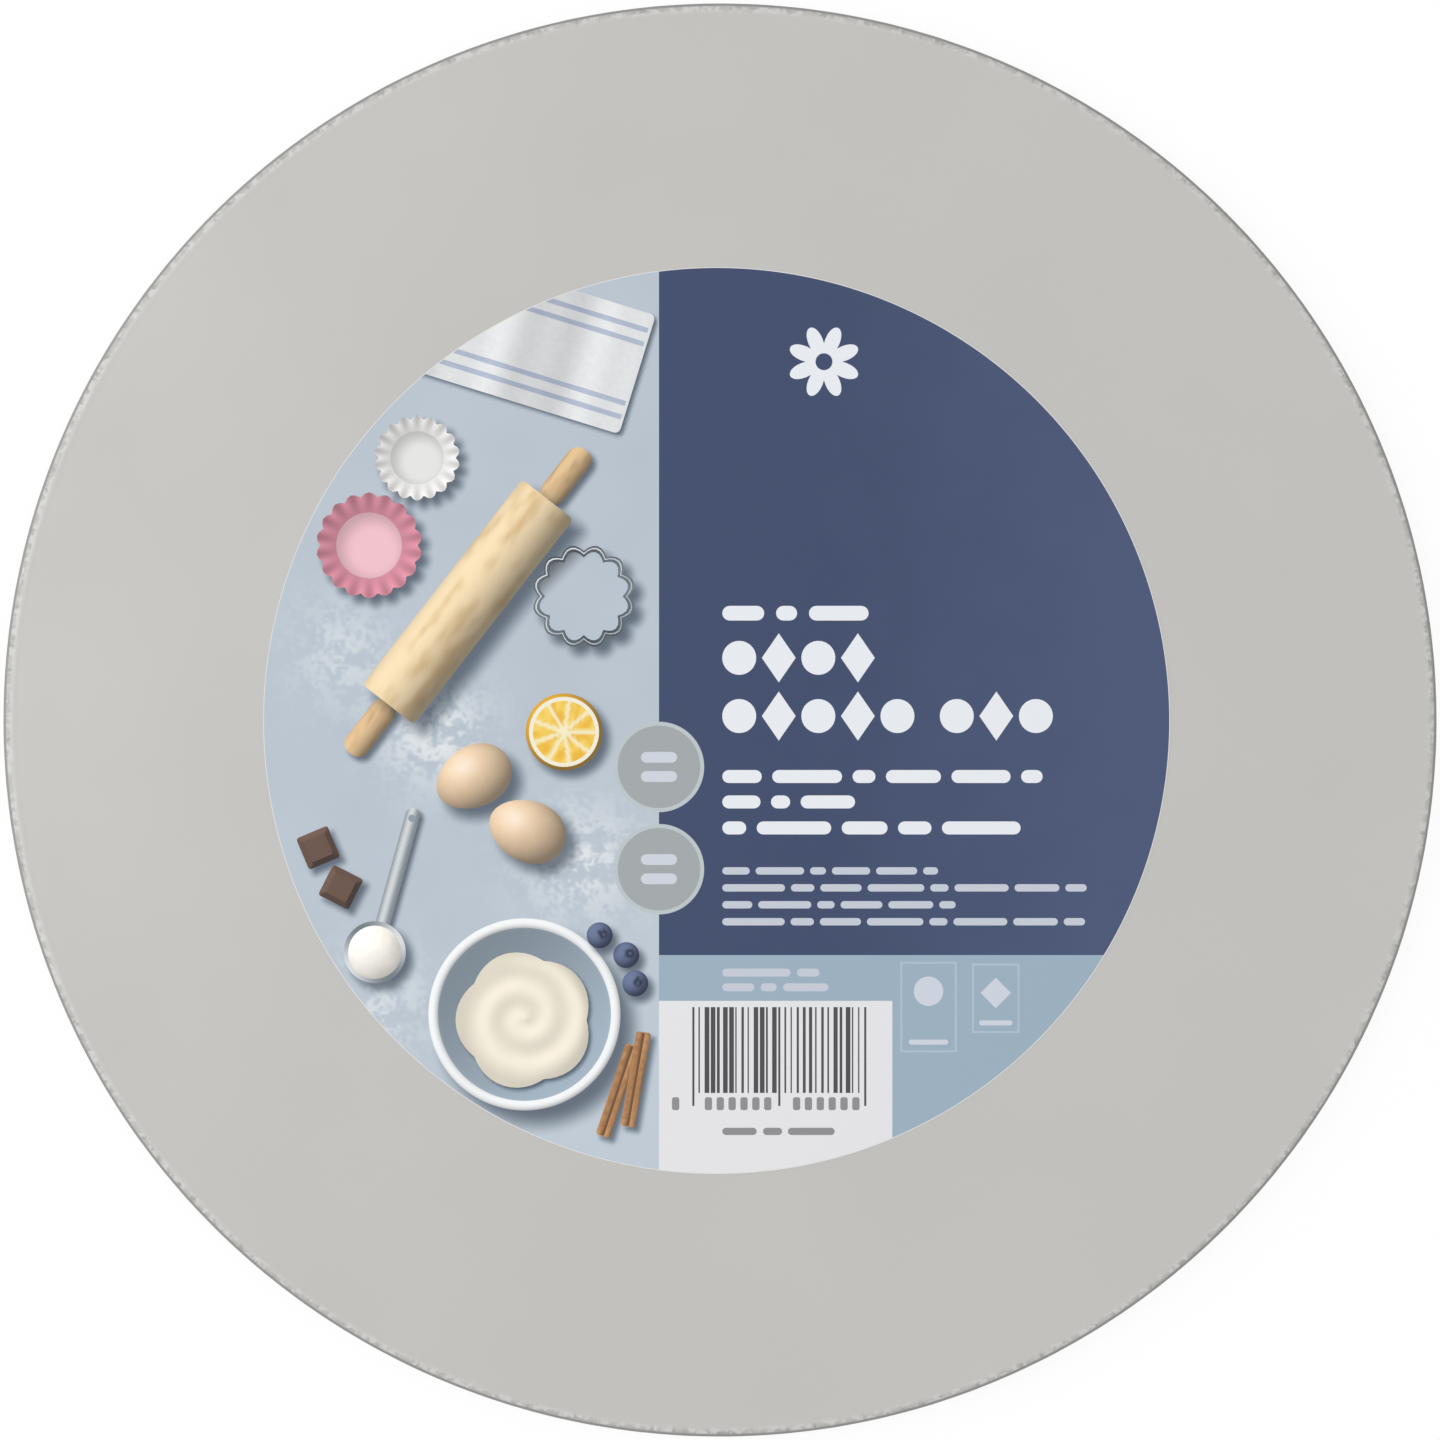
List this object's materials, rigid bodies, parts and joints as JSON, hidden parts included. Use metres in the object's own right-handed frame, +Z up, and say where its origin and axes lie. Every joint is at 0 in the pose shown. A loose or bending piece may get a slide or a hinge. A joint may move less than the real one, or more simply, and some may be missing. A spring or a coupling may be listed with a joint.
{
  "type": "round cake board",
  "caption": "Thin round foil-covered card board with a pleated turned-under edge, and a round printed paper label lying flat on its middle.",
  "frame": {"origin": "middle of the underside, on the surface that the board lies on", "axes": "+Z is up through the board's thickness, +Y points to the head of the label's print and +X to its right"},
  "size_m": [0.254, 0.254, 0.0033],
  "materials": {
    "silver_foil_card": "satin",
    "printed_paper": "satin"
  },
  "bodies": {
    "root": {"board": "silver_foil_card", "label": "printed_paper"}
  },
  "joints": []
}
